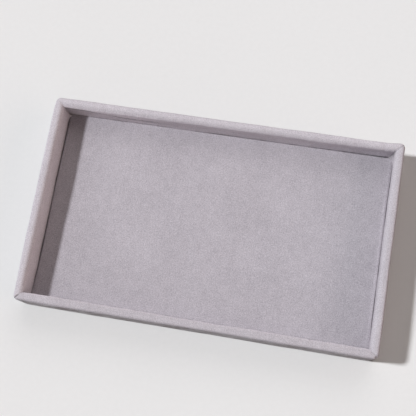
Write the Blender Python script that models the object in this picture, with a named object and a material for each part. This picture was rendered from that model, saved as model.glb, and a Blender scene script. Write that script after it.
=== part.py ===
"""Valet tray: fibreboard base and mitred walls, covered in velvet, with a velvet floor panel.

Run it with blender --background --python part.py, or from Blender's text editor.
Units are metres and +Z is up. The origin is at the middle of the underside, +X runs
along the tray's length and +Y points to its back wall.
"""

import math

import bmesh
import bpy
from mathutils import Matrix, Vector

# Outside of the tray, over the velvet
TRAY_LENGTH = 0.300
TRAY_DEPTH = 0.1785
TRAY_HEIGHT = 0.033
OUTER_CORNER_RADIUS = 0.004
LEAST_CORNER_RADIUS = 0.0005
RIM_RADIUS = 0.0033
FOOT_RADIUS = 0.0014

# Boards, foam, velvet and the glue between them
WALL_BOARD = 0.005
BASE_BOARD = 0.003
RIM_PADDING = 0.0022
VELVET = 0.0009
GLUE_GAP = 0.0003
MITRE_GAP = 0.0003

# Underside: the velvet turned under the base, and the felt lining that laps over it
TURN_UNDER = 0.012
LINING_EDGE = 0.0008
LINING_INSET = 0.006
LINING_CORNER_RADIUS = 0.004

# Floor panel, laid between the walls
PANEL_SEAM = 0.0009
PANEL_BOARD = 0.0012
PANEL_FOAM = 0.0008
PANEL_TURN_UNDER = 0.010
PANEL_EDGE_RADIUS = 0.0014
PANEL_CORNER_RADIUS = 0.0018

# Brads: two across each mitre, and a row up through the base into each wall
BRAD_RADIUS = 0.0006
BRAD_HEAD_RADIUS = 0.001
BRAD_HEAD_THICKNESS = 0.0005
BRAD_POINT_RADIUS = 0.0002
BRAD_POINT_LENGTH = 0.0015
CORNER_BRAD_LENGTH = 0.015
BASE_BRAD_LENGTH = 0.014
HOLE_CLEARANCE = 0.0003
CORNER_BRAD_HEIGHT_SHARES = (0.28, 0.74)
LONG_WALL_BRAD_SHARES = (-0.38, 0.0, 0.38)
SHORT_WALL_BRAD_SHARES = (-0.25, 0.25)

# Facets of the round shapes
HALF_CORNER_STEPS = 3
RIM_STEPS = 5
FOOT_STEPS = 3
PANEL_EDGE_STEPS = 3
BRAD_SIDES = 10
SMOOTH_ANGLE = math.radians(40)

# Thickness of a covered wall, and how far its board lies behind its faces
BOARD_INSET = VELVET + GLUE_GAP
WALL_THICKNESS = WALL_BOARD + 2 * BOARD_INSET

# Heights, from the underside up
TURN_UNDER_BOTTOM = LINING_EDGE + GLUE_GAP
TURN_UNDER_TOP = TURN_UNDER_BOTTOM + VELVET
BASE_BOTTOM = TURN_UNDER_TOP + GLUE_GAP
BASE_TOP = BASE_BOTTOM + BASE_BOARD
WALL_BOTTOM = BASE_TOP + GLUE_GAP
PADDING_TOP = TRAY_HEIGHT - BOARD_INSET
PADDING_BOTTOM = PADDING_TOP - RIM_PADDING
WALL_TOP = PADDING_BOTTOM - GLUE_GAP
PANEL_BOTTOM = BASE_TOP + GLUE_GAP
PANEL_BOARD_BOTTOM = PANEL_BOTTOM + BOARD_INSET
PANEL_BOARD_TOP = PANEL_BOARD_BOTTOM + PANEL_BOARD
PANEL_FOAM_BOTTOM = PANEL_BOARD_TOP + GLUE_GAP
PANEL_FOAM_TOP = PANEL_FOAM_BOTTOM + PANEL_FOAM
PANEL_TOP = PANEL_FOAM_TOP + BOARD_INSET

# How far the floor panel's edge lies inside the tray's outer faces
PANEL_INSET = WALL_THICKNESS + PANEL_SEAM

# Colour, roughness and metallic value of each kind of piece
FINISHES = {
    "velvet": ((0.49, 0.46, 0.50), 0.95, 0.0),
    "fibreboard": ((0.36, 0.24, 0.14), 0.85, 0.0),
    "greyboard": ((0.33, 0.32, 0.30), 0.9, 0.0),
    "foam": ((0.78, 0.76, 0.70), 0.95, 0.0),
    "felt": ((0.10, 0.095, 0.10), 0.95, 0.0),
    "steel": ((0.55, 0.55, 0.56), 0.35, 1.0),
}


def clear_scene():
    """Remove every object of the open scene."""
    for obj in list(bpy.data.objects):
        bpy.data.objects.remove(obj, do_unlink=True)


def make_material(name, finish):
    """A Principled material of one of the FINISHES."""
    color, roughness, metallic = FINISHES[finish]
    material = bpy.data.materials.new(name)
    material.use_nodes = True
    shader = material.node_tree.nodes["Principled BSDF"]
    shader.inputs["Base Color"].default_value = (*color, 1.0)
    shader.inputs["Roughness"].default_value = roughness
    shader.inputs["Metallic"].default_value = metallic
    material.diffuse_color = (*color, 1.0)
    return material


def make_mesh(name, bm, finish):
    """Turn a closed bmesh into a mesh with its material, shaded smooth over its round edges."""
    bmesh.ops.recalc_face_normals(bm, faces=bm.faces)
    mesh = bpy.data.meshes.new(name)
    bm.to_mesh(mesh)
    bm.free()
    mesh.shade_smooth()
    mesh.set_sharp_from_angle(angle=SMOOTH_ANGLE)
    mesh.materials.append(make_material(name, finish))
    return mesh


def place(name, mesh, matrix=Matrix()):
    """Named object of a mesh, put where its matrix says."""
    obj = bpy.data.objects.new(name, mesh)
    bpy.context.scene.collection.objects.link(obj)
    obj.matrix_world = matrix
    return obj


def loft(bm, rings):
    """Join rings of equal length into one closed body, with a flat cap at each end."""
    loops = [[bm.verts.new(point) for point in ring] for ring in rings]
    for low, high in zip(loops, loops[1:]):
        for i in range(len(low)):
            j = (i + 1) % len(low)
            bm.faces.new((low[i], low[j], high[j], high[i]))
    bm.faces.new(reversed(loops[0]))
    bm.faces.new(loops[-1])


def arc(center, radius, start, end, steps):
    """Points of a flat arc from one angle to another, both in degrees."""
    points = []
    for step in range(steps + 1):
        angle = math.radians(start + (end - start) * step / steps)
        points.append((center[0] + radius * math.cos(angle), center[1] + radius * math.sin(angle)))
    return points


def corner_radius(inset):
    """Plan radius of the tray's upright corners, this far inside its outer faces."""
    return max(OUTER_CORNER_RADIUS - inset, LEAST_CORNER_RADIUS)


def plan_ring(inset, radius, height):
    """Rounded rectangle this far inside the tray's outer faces, at one height."""
    half_x = TRAY_LENGTH / 2 - inset - radius
    half_y = TRAY_DEPTH / 2 - inset - radius
    ring = []
    for quarter, (sx, sy) in enumerate(((1, 1), (-1, 1), (-1, -1), (1, -1))):
        start = 90 * quarter
        for x, y in arc((sx * half_x, sy * half_y), radius, start, start + 90, 2 * HALF_CORNER_STEPS):
            ring.append((x, y, height))
    return ring


def plate(name, inset, radius, bottom, top, finish):
    """Flat board or sheet: its outline as one face, extruded to its thickness."""
    bm = bmesh.new()
    face = bm.faces.new([bm.verts.new(point) for point in plan_ring(inset, radius, bottom)])
    grown = bmesh.ops.extrude_face_region(bm, geom=[face])
    verts = [item for item in grown["geom"] if isinstance(item, bmesh.types.BMVert)]
    bmesh.ops.translate(bm, vec=Vector((0, 0, top - bottom)), verts=verts)
    return place(name, make_mesh(name, bm, finish))


def walls():
    """Name, length and placing of each wall; a wall's own +Y points into the tray."""
    half_x = TRAY_LENGTH / 2
    half_y = TRAY_DEPTH / 2
    return (
        ("front", TRAY_LENGTH, (0, -half_y, 0), 0),
        ("right", TRAY_DEPTH, (half_x, 0, 0), 90),
        ("back", TRAY_LENGTH, (0, half_y, 0), 180),
        ("left", TRAY_DEPTH, (-half_x, 0, 0), 270),
    )


def wall_matrix(location, degrees):
    """Placing of a wall in the tray."""
    return Matrix.Translation(location) @ Matrix.Rotation(math.radians(degrees), 4, "Z")


def wall_rings(length, section):
    """Sweep a section along a wall and halfway round the corner at each of its ends.

    The section's points are pairs of inset from the wall's outer face and height. Every
    end ring lies in the plane of the mitre, half a mitre gap short of it.
    """
    shift = MITRE_GAP / 2 * math.sqrt(2)
    turns = [45 * step / HALF_CORNER_STEPS for step in range(HALF_CORNER_STEPS + 1)]
    stations = [(-1, turn) for turn in reversed(turns)] + [(1, turn) for turn in turns]
    rings = []
    for side, turn in stations:
        ring = []
        for inset, height in section:
            radius = corner_radius(inset)
            angle = math.radians(turn)
            along = length / 2 - inset - radius + radius * math.sin(angle) - shift
            depth = inset + radius - radius * math.cos(angle)
            ring.append((side * along, depth, height))
        rings.append(ring)
    return rings


def cover_section():
    """Velvet over a wall: turned under the base, up outside, over the rim, down inside."""
    foot = (FOOT_RADIUS, TURN_UNDER_BOTTOM + FOOT_RADIUS)
    outer_roll = (RIM_RADIUS, TRAY_HEIGHT - RIM_RADIUS)
    inner_roll = (WALL_THICKNESS - RIM_RADIUS, TRAY_HEIGHT - RIM_RADIUS)
    back_of_rim = RIM_RADIUS - VELVET
    back_of_foot = FOOT_RADIUS - VELVET
    return [
        (TURN_UNDER, TURN_UNDER_BOTTOM),
        *arc(foot, FOOT_RADIUS, 270, 180, FOOT_STEPS),
        *arc(outer_roll, RIM_RADIUS, 180, 90, RIM_STEPS),
        *arc(inner_roll, RIM_RADIUS, 90, 0, RIM_STEPS),
        (WALL_THICKNESS, WALL_BOTTOM),
        (WALL_THICKNESS - VELVET, WALL_BOTTOM),
        *arc(inner_roll, back_of_rim, 0, 90, RIM_STEPS),
        *arc(outer_roll, back_of_rim, 90, 180, RIM_STEPS),
        *arc(foot, back_of_foot, 180, 270, FOOT_STEPS),
        (TURN_UNDER, TURN_UNDER_TOP),
    ]


def board_section():
    """Wall board: a plain rectangle standing on the base board."""
    inner = BOARD_INSET + WALL_BOARD
    return [(BOARD_INSET, WALL_BOTTOM), (inner, WALL_BOTTOM), (inner, WALL_TOP), (BOARD_INSET, WALL_TOP)]


def padding_section():
    """Foam strip on top of a wall board, rounded to fit under the velvet's rolled edges."""
    inner = BOARD_INSET + WALL_BOARD
    radius = RIM_RADIUS - BOARD_INSET
    height = PADDING_TOP - radius
    return [
        (BOARD_INSET, PADDING_BOTTOM),
        (inner, PADDING_BOTTOM),
        *arc((inner - radius, height), radius, 0, 90, RIM_STEPS),
        *arc((BOARD_INSET + radius, height), radius, 90, 180, RIM_STEPS),
    ]


def add_wall_piece(name, length, matrix, section, finish):
    """One mitred piece of a wall, placed by its object's location and rotation."""
    bm = bmesh.new()
    loft(bm, wall_rings(length, section))
    return place(name, make_mesh(name, bm, finish), matrix)


def add_walls():
    """Board, rim padding and velvet cover of the four walls; returns the boards."""
    boards = []
    for side, length, location, degrees in walls():
        matrix = wall_matrix(location, degrees)
        boards.append(add_wall_piece(f"{side}_wall_board", length, matrix, board_section(), "fibreboard"))
        add_wall_piece(f"{side}_rim_padding", length, matrix, padding_section(), "foam")
        add_wall_piece(f"{side}_wall_cover", length, matrix, cover_section(), "velvet")
    return boards


def add_lining():
    """Felt under the tray: thick inside the turned-under velvet, pressed thin where it laps it."""
    core_inset = TURN_UNDER + GLUE_GAP
    radius = LINING_CORNER_RADIUS
    bm = bmesh.new()
    loft(bm, [
        plan_ring(LINING_INSET, radius, 0),
        plan_ring(LINING_INSET, radius, LINING_EDGE),
        plan_ring(core_inset, radius, LINING_EDGE),
        plan_ring(core_inset, radius, TURN_UNDER_TOP),
    ])
    place("bottom_lining", make_mesh("bottom_lining", bm, "felt"))


def add_floor_panel():
    """Greyboard and foam, wrapped in velvet that is turned under the board."""
    edge = PANEL_EDGE_RADIUS
    center = (edge, PANEL_TOP - edge)
    path = [
        *arc(center, edge, 90, 180, PANEL_EDGE_STEPS),
        (0, PANEL_BOTTOM),
        (PANEL_TURN_UNDER, PANEL_BOTTOM),
        (PANEL_TURN_UNDER, PANEL_BOTTOM + VELVET),
        (VELVET, PANEL_BOTTOM + VELVET),
        *arc(center, edge - VELVET, 180, 90, PANEL_EDGE_STEPS),
    ]
    rings = []
    for inset, height in path:
        radius = max(PANEL_CORNER_RADIUS - inset, LEAST_CORNER_RADIUS)
        rings.append(plan_ring(PANEL_INSET + inset, radius, height))
    bm = bmesh.new()
    loft(bm, rings)
    place("floor_panel_cover", make_mesh("floor_panel_cover", bm, "velvet"))
    inset = PANEL_INSET + BOARD_INSET
    radius = PANEL_CORNER_RADIUS - BOARD_INSET
    plate("floor_panel_board", inset, radius, PANEL_BOARD_BOTTOM, PANEL_BOARD_TOP, "greyboard")
    plate("floor_panel_foam", inset, radius, PANEL_FOAM_BOTTOM, PANEL_FOAM_TOP, "foam")


def add_brad_body(bm, matrix, length, clearance):
    """One brad along its matrix's +Z, its head's flat face at the origin, or the hole it needs."""
    outline = (
        (BRAD_HEAD_RADIUS, -clearance),
        (BRAD_HEAD_RADIUS, BRAD_HEAD_THICKNESS),
        (BRAD_RADIUS, BRAD_HEAD_THICKNESS),
        (BRAD_RADIUS, length - BRAD_POINT_LENGTH),
        (BRAD_POINT_RADIUS, length),
    )
    rings = []
    for index, (radius, height) in enumerate(outline):
        lift = clearance if index > 0 else 0
        ring = []
        for x, y in arc((0, 0), radius + clearance, 0, 360, BRAD_SIDES)[:-1]:
            ring.append(matrix @ Vector((x, y, height + lift)))
        rings.append(ring)
    loft(bm, rings)


def corner_brad_places():
    """Name and matrix of each brad across a mitre, driven in from the front or the back."""
    side_center = BOARD_INSET + WALL_BOARD / 2
    inward = Matrix.Rotation(math.radians(-90), 4, "X")
    places = {}
    for side, length, location, degrees in walls():
        if side not in ("front", "back"):
            continue
        for end in (-1, 1):
            along = end * (length / 2 - side_center)
            hand = "right" if (end > 0) == (side == "front") else "left"
            for number, share in enumerate(CORNER_BRAD_HEIGHT_SHARES, 1):
                height = WALL_BOTTOM + share * (WALL_TOP - WALL_BOTTOM)
                start = Matrix.Translation((along, BOARD_INSET, height))
                matrix = wall_matrix(location, degrees) @ start @ inward
                places[f"{side}_{hand}_corner_brad_{number}"] = matrix
    return places


def base_brad_places():
    """Name and matrix of each brad that goes up through the base board into a wall."""
    places = {}
    for side, length, location, degrees in walls():
        shares = LONG_WALL_BRAD_SHARES if side in ("front", "back") else SHORT_WALL_BRAD_SHARES
        for number, share in enumerate(shares, 1):
            start = Matrix.Translation((share * length, BOARD_INSET + WALL_BOARD / 2, BASE_BOTTOM))
            places[f"{side}_base_brad_{number}"] = wall_matrix(location, degrees) @ start
    return places


def add_brads(boards):
    """The brads, and their holes in the boards that they join."""
    holes = bmesh.new()
    kinds = (
        ("corner_brad", corner_brad_places(), CORNER_BRAD_LENGTH),
        ("base_brad", base_brad_places(), BASE_BRAD_LENGTH),
    )
    for kind, places, length in kinds:
        bm = bmesh.new()
        add_brad_body(bm, Matrix(), length, 0)
        mesh = make_mesh(kind, bm, "steel")
        for name, matrix in places.items():
            place(name, mesh, matrix)
            add_brad_body(holes, matrix, length, HOLE_CLEARANCE)
    cutter = place("brad_holes", make_mesh("brad_holes", holes, "steel"))
    cutter.hide_render = True
    cutter.display_type = "WIRE"
    for board in boards:
        cut = board.modifiers.new("brad_holes", "BOOLEAN")
        cut.operation = "DIFFERENCE"
        cut.solver = "EXACT"
        cut.object = cutter


def build():
    """Build the tray from its base up."""
    clear_scene()
    add_lining()
    board_radius = corner_radius(BOARD_INSET)
    boards = [plate("base_board", BOARD_INSET, board_radius, BASE_BOTTOM, BASE_TOP, "fibreboard")]
    boards += add_walls()
    add_brads(boards)
    add_floor_panel()


build()
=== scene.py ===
from collections import namedtuple
import math

import bpy
import numpy as np
from mathutils import Euler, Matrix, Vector, noise


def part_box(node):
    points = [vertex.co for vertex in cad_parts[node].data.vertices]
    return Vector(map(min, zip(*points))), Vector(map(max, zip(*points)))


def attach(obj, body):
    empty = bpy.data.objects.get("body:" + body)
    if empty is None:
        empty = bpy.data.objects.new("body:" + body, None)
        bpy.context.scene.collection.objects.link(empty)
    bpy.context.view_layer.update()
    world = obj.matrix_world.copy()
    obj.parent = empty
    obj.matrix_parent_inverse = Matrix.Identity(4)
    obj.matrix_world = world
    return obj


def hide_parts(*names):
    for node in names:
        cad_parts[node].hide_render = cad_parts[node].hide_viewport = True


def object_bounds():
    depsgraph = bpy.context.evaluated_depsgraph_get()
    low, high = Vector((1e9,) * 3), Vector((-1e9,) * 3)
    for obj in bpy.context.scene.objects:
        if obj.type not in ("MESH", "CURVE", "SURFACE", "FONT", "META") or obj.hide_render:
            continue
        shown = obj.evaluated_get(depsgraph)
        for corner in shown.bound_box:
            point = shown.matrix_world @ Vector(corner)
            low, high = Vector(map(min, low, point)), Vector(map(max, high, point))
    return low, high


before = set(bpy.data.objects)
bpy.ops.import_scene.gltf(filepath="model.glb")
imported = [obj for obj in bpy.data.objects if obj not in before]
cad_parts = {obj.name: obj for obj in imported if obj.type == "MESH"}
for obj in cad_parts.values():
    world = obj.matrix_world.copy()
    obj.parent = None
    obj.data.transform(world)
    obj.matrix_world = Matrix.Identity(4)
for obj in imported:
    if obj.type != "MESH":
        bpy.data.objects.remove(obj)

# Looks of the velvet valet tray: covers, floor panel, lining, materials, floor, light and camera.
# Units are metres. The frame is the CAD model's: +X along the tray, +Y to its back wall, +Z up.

CAD_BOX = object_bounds()

# Places of the CAD pieces that the fabric pieces fit
HALF_LENGTH = CAD_BOX[1].x
HALF_DEPTH = CAD_BOX[1].y
RIM_HEIGHT = CAD_BOX[1].z
BOARD_LOW, BOARD_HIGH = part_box("front_wall_board")
COVER_LOW, COVER_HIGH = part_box("front_wall_cover")
PANEL_LOW, PANEL_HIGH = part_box("floor_panel_cover")
LINING_LOW, LINING_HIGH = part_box("bottom_lining")
BOARD_INSET = HALF_DEPTH + BOARD_LOW.y
WALL_THICKNESS = BOARD_HIGH.y - BOARD_LOW.y + 2 * BOARD_INSET
WALL_BOTTOM = BOARD_LOW.z
TURN_UNDER_HEIGHT = COVER_LOW.z
TURN_UNDER = COVER_HIGH.y - COVER_LOW.y

# Round edges of the covers, and the height of a wall's straight inner face over the floor panel
RIM_RADIUS = 0.0041
RIM_OUTER_RADIUS = 0.0022
FOOT_RADIUS = 0.0014
OUTER_CORNER_RADIUS = 0.004
LEAST_CORNER_RADIUS = 0.0005
INNER_FACE_HEIGHT = RIM_HEIGHT - RIM_RADIUS - PANEL_HIGH.z

# Directions that the velvet faces on its way over a wall, in degrees
DOWN, OUT, UP, IN = 270, 180, 90, 0

# Spacing of the covers' mesh
ALONG_STEP = 0.00075
FACE_STEP = 0.0008
RIM_STEP = 0.00042
UNDER_STEP = 0.0018
END_ZONE = 0.02
END_ROWS = 34
END_CROWDING = 1.5

# Mitre seams: each corner's crease, how far in it reaches, and how far the velvet's edge goes down
CREASE_DEPTH = {"front_left": 0.0007, "front_right": 0.0004, "back_right": 0.0003, "back_left": 0.00012}
CREASE_REACH = {"front_left": 0.0046, "front_right": 0.0074, "back_right": 0.0074, "back_left": 0.0074}
CREASE_END = 0.0016
CREASE_WIDTH = 0.0008
CREASE_STOP = 1.6
OUTER_CREASE_SHARE = 0.1
SEAM_GAP = 0.00008
SEAM_DIVE = (0.0006, 0.0013)

# Notch in the rim's outer turn at a corner, and which way the velvet faces there
NOTCH_DEPTH = {"front_left": 0.0, "front_right": 0.0012, "back_right": 0.0, "back_left": 0.0}
NOTCH_WIDTH = 0.0014
NOTCH_FACING = math.radians(140)
NOTCH_SPREAD = math.radians(25)

# Unevenness of the velvet over the boards and the padding: bump size, height and a place in the noise.
# The outer faces are calmer, and so is the foot up to a height
SLOW_WAVES = ((0.045, 0.0002, 3.0), (0.014, 0.0001, 17.0))
PILE_WAVES = ((0.0044, 0.00006, 31.0), (0.0019, 0.00007, 47.0))
STREAK_STRETCH = 2.6
OUTER_CALM = 0.7
FOOT_CALM = 0.002

# Where a wall's inner face starts, as the cosine of the velvet's direction, and how sharply
INNER_FACE_START = 0.7
INNER_FACE_SHARPNESS = 4

# How far each wall's inner face leans into the tray at its base, at the wall's low and high end, and
# how far its outer face stands out from the straight line
INNER_LEAN = {
    "front": (0.0003, 0.0003),
    "right": (-0.00095, -0.00095),
    "back": (-0.0008, -0.00105),
    "left": (0.0, 0.0004),
}
OUTER_LEAN = {"front": (0.0, 0.0), "right": (0.0, 0.0), "back": (-0.0009, 0.0), "left": (0.0008, 0.0001)}
LEAN_ZONE = 0.014
LEAN_HASTE = 2.2
LEFT_BELLY = 0.0004
LEFT_BELLY_HEIGHT = 0.0042

# Loose fold that falls from the back left corner along the back wall. Its lip is higher at the corner
FOLD_LENGTH = 0.1
FOLD_HEIGHT = 0.0094
FOLD_RISE = 0.0102
FOLD_RISE_LENGTH = 0.039
FOLD_RISE_POWER = 3
FOLD_DROP = 0.004
FOLD_BULGE = 0.0006
FOLD_LIP = 0.0005
FOLD_FADE = 0.04

# Corner of fabric that stands out over the floor at the back left corner
TAB_BULGE = 0.0022
TAB_PLACE = 0.0005
TAB_WIDTH = 0.0014
TAB_HEIGHT = 0.0024

# Gusset of the right wall's fabric that slopes into the back right corner
GUSSET_RADIUS = 0.0068
GUSSET_REACH = 0.0012
GUSSET_UNDER = 0.0025

# Faint pull in the left wall by the front corner
PULL_LENGTH = 0.042
PULL_HEIGHT = 0.019
PULL_BULGE = 0.00045
PULL_SPREAD = 0.004
PULL_FADE = 2

# Painted shade, as shares of the velvet's colour, and how far it reaches: in the mitre seams, the inner
# corners, the back corners' pockets, along the back wall's foot, in the line under the fold's lip and
# down at the left wall's foot
SEAM_SHADE = {"front_left": 0.5, "front_right": 0.06, "back_right": 0.15, "back_left": 0.08}
SEAM_SHADE_WIDTH = 0.0005
CORNER_SHADE = {"front_left": 0.3, "front_right": 0.05, "back_right": 0.55, "back_left": 0.0}
CORNER_SHADE_WIDTH = 0.0009
POCKET_SHADE = {"back_right": (0.22, 0.014), "back_left": (0.45, 0.011)}
FOOT_LINE_SHADE = 0.6
FOOT_LINE_LENGTH = 0.045
FOOT_LINE_HEIGHT = 0.0012
FOLD_HIDDEN = 0.0024
FOLD_LINE_SHADE = 0.42
FOLD_LINE_WIDTH = 0.0015
FOOT_SHADE = 0.3
FOOT_SHADE_HEIGHT = 0.0052
FOOT_SHADE_START = 0.012

# Painted light, as shares of the velvet's colour: above the fold's lip, on the strip under its line, a
# painted highlight on the front rim's inner turn, and at the right wall's foot by the front corner
FOLD_LIGHT = 0.18
FOLD_STRIP_LIGHT = 0.1
TURN_LIGHT = 0.32
TURN_LIGHT_FACING = math.radians(28)
TURN_LIGHT_SPREAD = math.radians(26)
FOOT_LIGHT = 0.3
FOOT_LIGHT_LENGTH = 0.03

# Floor panel: mesh, rolled edge and turn-under, and the shares of its side and of its turn-under at
# which its rings of points lie
PANEL_STEP = 0.0008
PANEL_EDGE_RADIUS = 0.0014
PANEL_EDGE_ROWS = 6
PANEL_CORNER_RADIUS = 0.0018
PANEL_TURN_UNDER = 0.010
PANEL_SIDE_SHARES = (0.5, 1.0)
PANEL_UNDER_SHARES = (0.35, 1.0)

# Each side's axis, sign and place in the noise; then its gap to the wall, its roll and the length of
# its closed stretch at the wall's low and high end, and how much the gap wanders
PANEL_SIDES = {"left": (0, -1, 6.3), "right": (0, 1, 8.3), "front": (1, -1, 9.3), "back": (1, 1, 11.3)}
PANEL_GAPS = {
    "left": (0.0006, 0.0006),
    "right": (0.0003, 0.0003),
    "front": (0.0001, 0.0001),
    "back": (0.00035, 0.00008),
}
PANEL_ROLLS = {"left": (1.0, 1.0), "right": (0.45, 0.45), "front": (1.0, 1.0), "back": (0.85, 0.25)}
PANEL_CLOSED = {
    "left": (0.006, 0.026),
    "right": (0.028, 0.045),
    "front": (0.016, 0.016),
    "back": (0.006, 0.016),
}
PANEL_CLOSED_ROLL = 0.85
PANEL_CORNER_GAP = 0.00004
PANEL_GAP_WANDER = 0.00022
PANEL_GAP_WAVE = 0.022
PANEL_SHIFT_DEPTH = 0.010

# Its lip along the open seam by the right wall, and the painted light that makes its colour lighter there
PANEL_LIP = 0.0002
PANEL_LIP_LIGHT = 0.13
PANEL_LIP_PLACE = 0.0017
PANEL_LIP_WIDTH = 0.0008

# Its unevenness, and the share of it that is left at the very edge
PANEL_WAVES = ((0.075, 0.0005, 5.0), (0.03, 0.00016, 11.0), (0.0042, 0.00005, 23.0), (0.0019, 0.00004, 41.0))
PANEL_EDGE_CALM = 0.3

# Felt lining
FELT_STEP = 0.0015
FELT_EDGE = 0.0008
FELT_EDGE_ROWS = 3
FELT_EDGE_RISE = 0.5
FELT_CORNER_RADIUS = 0.004
FELT_WAVES = ((0.02, 0.0002, 2.0), (0.004, 0.00012, 9.0))
FELT_ROUGHNESS = 0.35
FELT_CALM = 0.002

# Foam strips under the rims, and foam under the floor panel's velvet, whose edge is pressed down
FOAM_STEP = 0.004
FOAM_SECTION_STEPS = 6
FOAM_EDGE_SHARE = 0.25
FOAM_DOME_POWER = 0.6
FOAM_PORES = ((0.006, 0.00012, 13.0),)
FOAM_END_GAP = 0.0014
FOAM_EDGE_ROWS = 2
FOAM_CORNER_SHARE = 2
FOAM_EDGE_FALL = 0.4

# The whole texture square is this many metres across, for the pieces that are unwrapped
UV_SPAN = 0.32

# Painted shade along the floor panel's edges: the share of colour left at each edge, and how far in it
# reaches
PANEL_EDGE_SHADE = {"left": (0.90, 0.07), "right": (0.87, 0.05), "front": (0.93, 0.06), "back": (0.93, 0.03)}

# Painted light and shade: how much lighter each wall's colour is made on its outer face, rim and inner face
FACE_LIGHT_TONES = {
    "front": (0.95, 1.0, 1.12),
    "right": (0.82, 1.02, 1.02),
    "back": (1.2, 1.16, 1.45),
    "left": (1.25, 1.15, 1.16),
}
FACE_TONE_TURN = 0.0045

# Colours, as linear RGB: (darker fibre, lighter fibre)
WALL_VELVET = ((0.38, 0.35, 0.38), (0.63, 0.59, 0.63))
PANEL_VELVET = ((0.335, 0.31, 0.34), (0.61, 0.57, 0.615))
FELT = ((0.055, 0.052, 0.056), (0.15, 0.145, 0.15))
FOAM = ((0.66, 0.63, 0.55), (0.84, 0.82, 0.76))
FIBREBOARD = ((0.24, 0.15, 0.085), (0.46, 0.32, 0.2))
GREYBOARD = ((0.25, 0.24, 0.225), (0.42, 0.41, 0.39))
STEEL = ((0.42, 0.42, 0.43), (0.66, 0.66, 0.67))
FLOOR = ((0.78, 0.775, 0.77), (0.82, 0.815, 0.81))
FLOOR_BOUNCE = (0.10, 0.085, 0.085, 1.0)
BACKDROP = (0.85, 0.85, 0.85, 1.0)

# Velvet's grain, tufts, streaks and clouds: size, detail, whether brushed longer, and weight in the
# colour. The grain and the tufts make its bump
EVEN = (1.0, 1.0, 1.0)
VELVET_LAYERS = (
    (0.0008, 1.0, False, 1.8),
    (0.0016, 1.0, True, 0.5),
    (0.006, 2.0, True, 0.4),
    (0.045, 2.0, False, 0.35),
)
VELVET_BUMP_WEIGHTS = (1.0, 0.5)
VELVET_BUMP = (0.5, 0.0003)
VELVET_ROUGHNESS = (0.78, 1.0)
VELVET_LOOK = {
    "Specular IOR Level": 0.1,
    "Sheen Weight": 0.28,
    "Sheen Roughness": 0.45,
    "Sheen Tint": (0.95, 0.94, 0.97, 1.0),
}
WALL_STRETCH = (1.0, 1.4, 1.0)
PANEL_STRETCH = (1.0, 1.3, 1.0)

# Other materials: tones, noise sizes and weights, stretch, roughness, bump strength and depth; then
# the sheen and the metal of those that have any
MOTTLE_DETAIL = 3.0
MOTTLED = {
    "foam": (FOAM, (0.0012, 0.008), (1.4, 0.5), EVEN, (0.85, 1.0), (0.5, 0.0003)),
    "felt": (FELT, (0.0006, 0.0025, 0.03), (1.1, 1.0, 0.4), (1.0, 1.6, 1.0), (0.85, 1.0), (0.6, 0.0003)),
    "fibreboard": (FIBREBOARD, (0.0005, 0.003), (1.6, 0.7), EVEN, (0.75, 0.95), (0.4, 0.0001)),
    "greyboard": (GREYBOARD, (0.0006, 0.005), (1.5, 0.6), (1.0, 2.5, 1.0), (0.8, 0.98), (0.3, 0.00006)),
    "brad_steel": (STEEL, (0.0003, 0.002), (0.8, 0.9), (1.0, 1.0, 5.0), (0.25, 0.45), (0.15, 0.00002)),
}
MOTTLED_LOOKS = {"felt": {"Sheen Weight": 0.2}, "brad_steel": {"Metallic": 1.0}}

# Floor's noise: size, detail and weight of each layer
FLOOR_LAYERS = ((0.004, 4.0, 0.8), (0.3, 2.0, 0.6))
FLOOR_LOOK = {"Roughness": 0.9, "Specular IOR Level": 0.1}

# Floor and camera
FLOOR_RADIUS = 6.0
FLOOR_SIDES = 96
FLOOR_DROP = 0.0001
CAMERA_LOCATION = (0.08205206, -0.13781416, 0.70277636)
CAMERA_ROTATION = (13.45783148, 4.96611121, 9.79166106)
CAMERA_LENS = 72.35476
SENSOR_WIDTH = 36.0

# Lamps: azimuth (0 is +X, 90 is +Y) and elevation in degrees, angular size in degrees, strength, colour
LAMPS = {
    "key": (183.8, 49.7, 6.0, 2.94, (0.955, 0.975, 1.0)),
    "low_fill": (0.0, 12.0, 60.0, 1.29, (1.0, 0.78, 0.68)),
    "back_fill": (80.0, 44.0, 50.0, 0.6, (1.0, 0.97, 0.97)),
    "front_fill": (275.0, 10.0, 60.0, 0.15, (1.0, 0.97, 0.98)),
}
WORLD_LIGHT = (0.08, 0.08, 0.08, 1.0)

# A wall: its side, its length, its place, its turn in degrees and the corners at its low and high end
Wall = namedtuple("Wall", "side length location degrees ends")


def add_object(name, data):
    """Object that shows a mesh, a lamp or a camera."""
    obj = bpy.data.objects.new(name, data)
    bpy.context.scene.collection.objects.link(obj)
    return obj


def make_mesh(name, points, faces, uv=None):
    """Smooth-shaded mesh object; uv, if given, is each point's place in metres on the flat cloth."""
    mesh = bpy.data.meshes.new(name)
    mesh.from_pydata(points, [], faces)
    if uv is not None:
        loops = np.empty(len(mesh.loops), np.int32)
        mesh.loops.foreach_get("vertex_index", loops)
        layer = mesh.uv_layers.new(name="OFBake")
        layer.uv.foreach_set("vector", (np.asarray(uv)[loops] / UV_SPAN).ravel())
    mesh.shade_smooth()
    return add_object(name, mesh)


def grid_faces(columns, rows):
    """Quads of a grid whose points run through the rows of each column in turn."""
    first = np.arange(columns - 1)[:, None] * rows + np.arange(rows - 1)[None, :]
    quads = np.stack([first, first + rows, first + rows + 1, first + 1], axis=-1)
    return quads.reshape(-1, 4).tolist()


def waves(points, layers):
    """Sum of smooth noise layers, each given by its bumps' size, its height and its place."""
    flat = np.asarray(points, float).reshape(-1, 3)
    total = np.zeros(len(flat))
    for size, height, place in layers:
        shifted = flat / size + place
        total += 2 * height * np.array([noise.noise(Vector(point)) for point in shifted])
    return total.reshape(np.shape(points)[:-1])


def smooth_step(value):
    """0 below 0, 1 above 1, with a soft turn between them."""
    part = np.clip(value, 0, 1)
    return part * part * (3 - 2 * part)


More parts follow.
